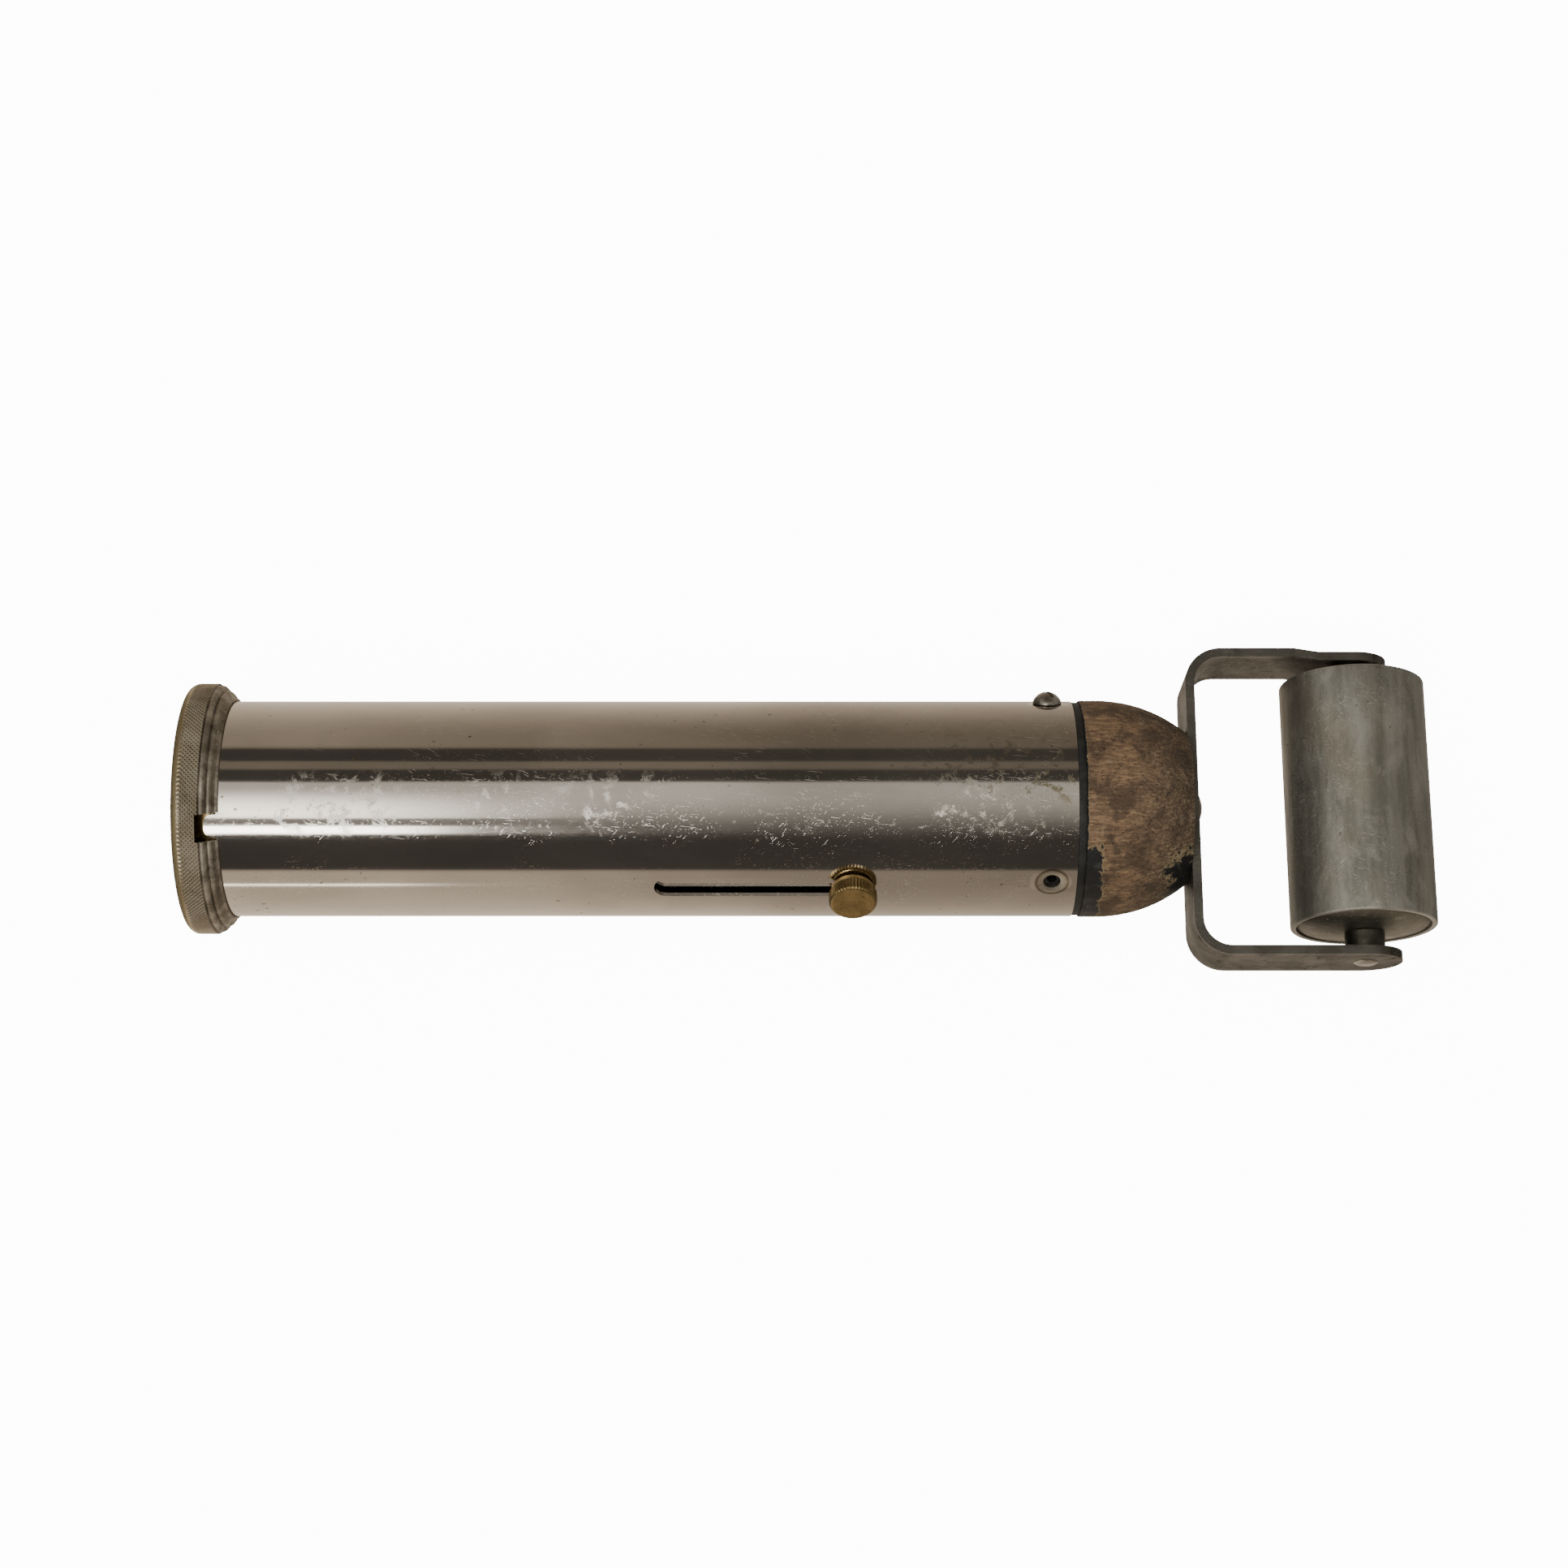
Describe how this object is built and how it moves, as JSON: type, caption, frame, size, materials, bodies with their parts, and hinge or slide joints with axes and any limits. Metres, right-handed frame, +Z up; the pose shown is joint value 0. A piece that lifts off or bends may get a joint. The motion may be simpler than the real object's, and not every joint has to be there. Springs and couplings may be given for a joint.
{
  "type": "electric massage roller",
  "caption": "Hand-held dry-cell massage roller: plated tube with end cap, sliding strength control, induction coil inside, wooden nose and a metal roller in a strip yoke.",
  "frame": {"origin": "centre of the end cap's flat rear face, on the tube's axis", "axes": "+X along the tube towards the roller, +Z up from the surface the object lies on, slot and thumb nut on the upper -Y side"},
  "size_m": [0.2193, 0.0572, 0.0444],
  "materials": {
    "nickel": "worn nickel plate with scratches and spots",
    "cap_metal": "knurled brass with worn nickel",
    "brass": "dull polished brass",
    "steel": "worn grey steel",
    "screw_steel": "plated screw steel, tarnished",
    "zinc": "dull rolled zinc",
    "wood": "bare brown wood with flakes of black paint",
    "black_fibre": "black vulcanised fibre",
    "red_fibre": "red vulcanised fibre",
    "card": "brown card",
    "paper": "waxed paper",
    "pitch": "pitch seal",
    "cell_zinc": "zinc can",
    "iron": "soft iron",
    "copper_wire": "enamelled copper wire",
    "silk_wire": "green silk-covered wire",
    "spring_steel": "spring steel"
  },
  "bodies": {
    "case": {"case_tube": "nickel", "battery_can": "cell_zinc", "battery_jacket": "card", "battery_seal": "pitch", "battery_terminal": "brass", "case_liner": "card", "bulkhead_disc": "red_fibre", "battery_stud": "brass", "stud_nut": "brass", "chassis_plate": "red_fibre", "reed_bracket": "brass", "reed_foot": "spring_steel", "reed_rivets": "brass", "contact_post": "brass", "contact_screw": "brass", "contact_lock_nut": "brass", "coil_former": "card", "coil_rear_cheek": "red_fibre", "coil_front_cheek": "red_fibre", "iron_core": "iron", "primary_winding": "copper_wire", "coil_paper": "paper", "secondary_winding": "copper_wire", "coil_wrap": "paper", "lead_wires": "silk_wire", "nose_dome": "wood", "insulating_ring": "black_fibre", "nose_screws": "screw_steel", "yoke": "steel", "yoke_screw": "screw_steel", "yoke_washer": "brass", "yoke_nut": "brass", "axle": "screw_steel", "axle_washers": "steel"},
    "end_cap": {"cap_shell": "cap_metal", "cap_spigot": "brass", "cap_contact": "brass", "cap_spring": "spring_steel"},
    "regulator": {"regulator_tube": "brass", "slot_shutter": "nickel", "slider_block": "black_fibre", "slide_washer": "brass", "slider_stud": "brass"},
    "nut": {"thumb_nut": "brass"},
    "armature": {"armature_reed": "spring_steel", "armature_hammer": "iron", "reed_contact": "brass"},
    "roller": {"roller_tube": "zinc", "roller_end_discs": "zinc", "roller_bushes": "brass"}
  },
  "joints": [
    {"name": "cap_pull", "type": "slide", "parent": "case", "child": "end_cap", "axis": [-1, 0, 0], "range_m": [0, 0.03]},
    {"name": "regulator_slide", "type": "slide", "parent": "case", "child": "regulator", "axis": [-1, 0, 0], "range_m": [0, 0.032]},
    {"name": "thumb_nut_turn", "type": "hinge", "parent": "regulator", "child": "nut", "pos_m": [0.1167, 0, 0], "axis": [0, -0.7133, 0.7009], "range_deg": [0, 180]},
    {"name": "armature_rock", "type": "hinge", "parent": "case", "child": "armature", "pos_m": [0.10605, 0, -0.00545], "axis": [0, 1, 0], "range_deg": [0, 4], "stiffness_Nm_per_rad": 0.02, "springref_deg": -2.86},
    {"name": "roller_spin", "type": "hinge", "parent": "case", "child": "roller", "pos_m": [0.2065, 0, 0], "axis": [0, 0.9563, -0.2924], "continuous": true}
  ]
}
